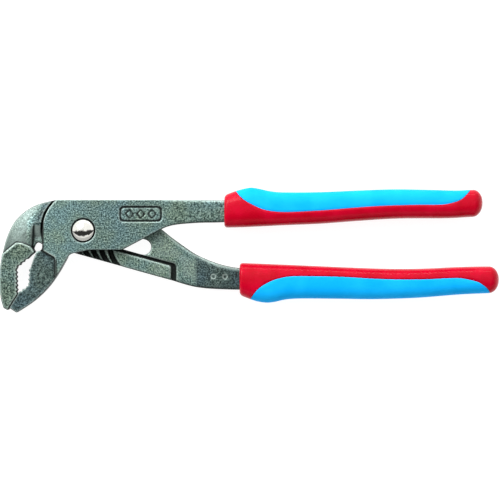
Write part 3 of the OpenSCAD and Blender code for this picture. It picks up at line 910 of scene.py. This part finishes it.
def forged_steel():
    """Shot-blasted forged steel: a coarse grain, blotches of tone, worn edges with painted highlights, and
    painted shade in creases and on the sides.
    """
    s = Shader("forged_steel")
    grain = s.noise(size_mm=0.75, detail=3, roughness=0.6)
    rough = s.band(grain, 0.3, 0.7, to_low=0.6, to_high=0.4)
    rough = s.math("ADD", rough, s.attribute("polish", -0.12))
    rough = s.math("ADD", rough, s.attribute("grime_and_shade", 0.25))
    coarse = s.bump(grain, distance_mm=0.12, strength=0.7)
    normal = s.bump(s.noise(size_mm=0.25), distance_mm=0.03, strength=0.6, base=coarse)
    s.set(Base_Color=forged_colour(s, grain), Roughness=rough, Normal=normal, Metallic=0.75)
    return s.material


def polished_steel():
    """Chromed dome with a faint haze and fine scratches."""
    s = Shader("polished_steel")
    haze = s.noise(size_mm=2.5, detail=4, roughness=0.6)
    rough = s.band(haze, 0.35, 0.7, to_low=0.05, to_high=0.14)
    scratches = s.bump(s.noise(size_mm=1.6, detail=3), distance_mm=0.015, strength=0.35)
    s.set(Base_Color=s.colours(haze, CHROME), Roughness=rough, Normal=scratches, Metallic=1.0)
    return s.material


def fastener_steel():
    """Turned steel of the nut and the washer."""
    s = Shader("fastener_steel")
    distance = s.node("ShaderNodeVectorMath", operation="LENGTH")
    s.put(distance.inputs[0], s.place)
    rings = s.node("ShaderNodeCombineXYZ")
    s.put(rings.inputs["X"], distance.outputs["Value"])
    lines = s.noise(size_mm=0.12, place=rings.outputs["Vector"])
    stain = s.noise(size_mm=2.2, detail=3)
    rough = s.band(stain, 0.3, 0.7, to_low=0.5, to_high=0.28)
    normal = s.bump(lines, distance_mm=0.03, strength=0.5)
    s.set(Base_Color=s.colours(stain, TURNED_STEEL), Roughness=rough, Normal=normal, Metallic=0.9)
    return s.material


def red_plastic():
    """Glossy moulded plastic with a faint orange peel and slight variation of tone."""
    s = Shader("red_core")
    base = s.colours(s.noise(size_mm=9, detail=3), RED)
    rough = s.band(s.noise(size_mm=4, detail=3), 0.3, 0.7, to_low=0.2, to_high=0.3)
    peel = s.bump(s.noise(size_mm=0.9), distance_mm=0.02, strength=0.3)
    s.set(Base_Color=base, Roughness=rough, Normal=peel, Specular_IOR_Level=0.1)
    return s.material


def blue_rubber():
    """Soft rubber with the fine cells of a blasted mould."""
    s = Shader("blue_inlay")
    base = s.colours(s.noise(size_mm=12, detail=3), BLUE)
    rough = s.band(s.noise(size_mm=0.5), 0.3, 0.7, to_low=0.5, to_high=0.66)
    cells = s.bump(s.cells(size_mm=0.55), distance_mm=0.03, strength=0.35)
    s.set(Base_Color=base, Roughness=rough, Normal=cells, Specular_IOR_Level=0.04)
    return s.material


def floor_material():
    """Pale matt floor that glows a little, so that it stays white."""
    s = Shader("pale_floor")
    s.set(Base_Color=s.colours(s.noise(size_mm=400), FLOOR_GREY), Roughness=0.7)
    s.set(Emission_Color=(1, 1, 1, 1), Emission_Strength=FLOOR_GLOW)
    return s.material


# ---- Studio ----

# Places and sizes here are in metres
VIEW_WIDTH, VIEW_MIDDLE = 254.7 * MM, (84.9 * MM, -10.0 * MM)
LENS, SENSOR, CLIP = 200, 36, (0.05, 20)
FOCUS_SHARE = 0.7
FLOOR_SIZE, FLOOR_LEVEL = 6.0, -0.05 * MM
LIGHT_AIM = (0.08, -0.01, 0)
KEY = {"place": (-0.25, 0.4, 0.55), "size": (0.5, 0.4), "energy": 5.6}
STRIP = {"place": (0.15, 1.1, 0.38), "size": (1.4, 0.12), "energy": 4.5}

# Brightness of the studio from the near side to the far side, with the dark opening between
SKY = [(0.0, 0.5), (0.22, 0.95), (0.28, 0.03), (0.47, 0.03), (0.51, 0.95), (1.0, 1.0)]
SKY_TINT = (1, 0.985, 0.95)
SKY_STRENGTH, SKY_SPREAD, SKY_LEAN = 1.3, 0.25, -0.06
LOWEST_RISE = 0.04
WOBBLE_SCALE, WOBBLE = 2.6, 0.9
BACKDROP = (0.92, 0.92, 0.92, 1)


def make_camera():
    """A long lens straight above the pliers."""
    data = bpy.data.cameras.new("camera")
    data.lens, data.sensor_width = LENS, SENSOR
    data.clip_start, data.clip_end = CLIP
    camera = bpy.data.objects.new("camera", data)
    focus_z = FOCUS_SHARE * CAD_BOX[1].z
    camera.location = (*VIEW_MIDDLE, focus_z + VIEW_WIDTH * LENS / SENSOR)
    bpy.context.scene.collection.objects.link(camera)
    bpy.context.scene.camera = camera


def make_floor():
    size, level = FLOOR_SIZE, FLOOR_LEVEL
    corners = [(-size, -size, level), (size, -size, level), (size, size, level), (-size, size, level)]
    floor = new_object("floor", mesh_from("floor", corners, [(0, 1, 2, 3)]))
    floor.data.materials.append(floor_material())


def make_area_light(name, place, size, energy):
    data = bpy.data.lights.new(name, "AREA")
    data.shape = "RECTANGLE"
    data.size, data.size_y = size
    data.energy = energy
    light = bpy.data.objects.new(name, data)
    light.location = place
    light.rotation_mode = "QUATERNION"
    light.rotation_quaternion = (Vector(LIGHT_AIM) - Vector(place)).to_track_quat("-Z", "Y")
    bpy.context.scene.collection.objects.link(light)


def make_lights():
    """A soft key light over the far side, and a low strip that draws the highlights along the grips."""
    make_area_light("key", **KEY)
    make_area_light("strip", **STRIP)


def sky_place(sky):
    """Place along the studio's ceiling from the near side to the far side, with soft, wavy bounds."""
    parts = sky.node("ShaderNodeSeparateXYZ")
    sky.put(parts.inputs[0], sky.place)
    x, y, z = parts.outputs
    rise = sky.math("MAXIMUM", z, LOWEST_RISE)
    wave = sky.math("MULTIPLY", sky.math("SUBTRACT", sky.clouds(WOBBLE_SCALE), 0.5), WOBBLE)
    place = sky.math("ADD", sky.math("DIVIDE", y, rise), wave)
    lean = sky.math("MULTIPLY", sky.math("DIVIDE", x, rise), SKY_LEAN)
    place = sky.math("ADD", place, lean)
    return sky.math("ADD", sky.math("MULTIPLY", place, SKY_SPREAD), 0.5)


def background(sky, colour, strength):
    made = sky.node("ShaderNodeBackground")
    sky.put(made.inputs["Color"], colour)
    sky.put(made.inputs["Strength"], strength)
    return made.outputs[0]


def make_world():
    """Soft studio: bright all round, with a dark opening overhead that the dome mirrors."""
    world = bpy.data.worlds.new("studio")
    world.use_nodes = True
    world.node_tree.nodes.clear()
    sky = Nodes(world.node_tree, "Generated")
    stops = [(place, [level * share for share in SKY_TINT]) for place, level in SKY]
    studio = background(sky, sky.colours(sky_place(sky), stops), SKY_STRENGTH)
    shown = sky.node("ShaderNodeMixShader")
    direct = sky.node("ShaderNodeLightPath").outputs["Is Camera Ray"]
    for socket, value in zip(shown.inputs, (direct, studio, background(sky, BACKDROP, 1.0))):
        sky.put(socket, value)
    sky.put(sky.node("ShaderNodeOutputWorld").inputs["Surface"], shown.outputs[0])
    bpy.context.scene.world = world


make_camera()
make_floor()
make_lights()
make_world()
bpy.context.scene.view_settings.view_transform = "Standard"

steel, chrome, turned_steel, red, blue = (
    forged_steel(), polished_steel(), fastener_steel(), red_plastic(), blue_rubber()
)
slotted = (slotted_rounding, slotted_attributes)
plate = (plate_rounding, plate_attributes)
forging("outer_jaw_forging", "slotted_jaw", "slotted_lever", *slotted, steel)
forging("inner_jaw_forging", "plate_jaw", "plate_lever", *plate, steel)
pivot_bolt(chrome)
pivot_nut(turned_steel)
slot_washer(turned_steel)
grip_core("upper_core", UPPER, "upper_grip_core", "plate_jaw", "plate_lever", red)
grip_inlay("upper_inlay", UPPER, "upper_grip_inlay", "plate_lever", blue)
grip_core("lower_core", LOWER, "lower_grip_core", "slotted_jaw", "slotted_lever", red)
grip_inlay("lower_inlay", LOWER, "lower_grip_inlay", "slotted_lever", blue)
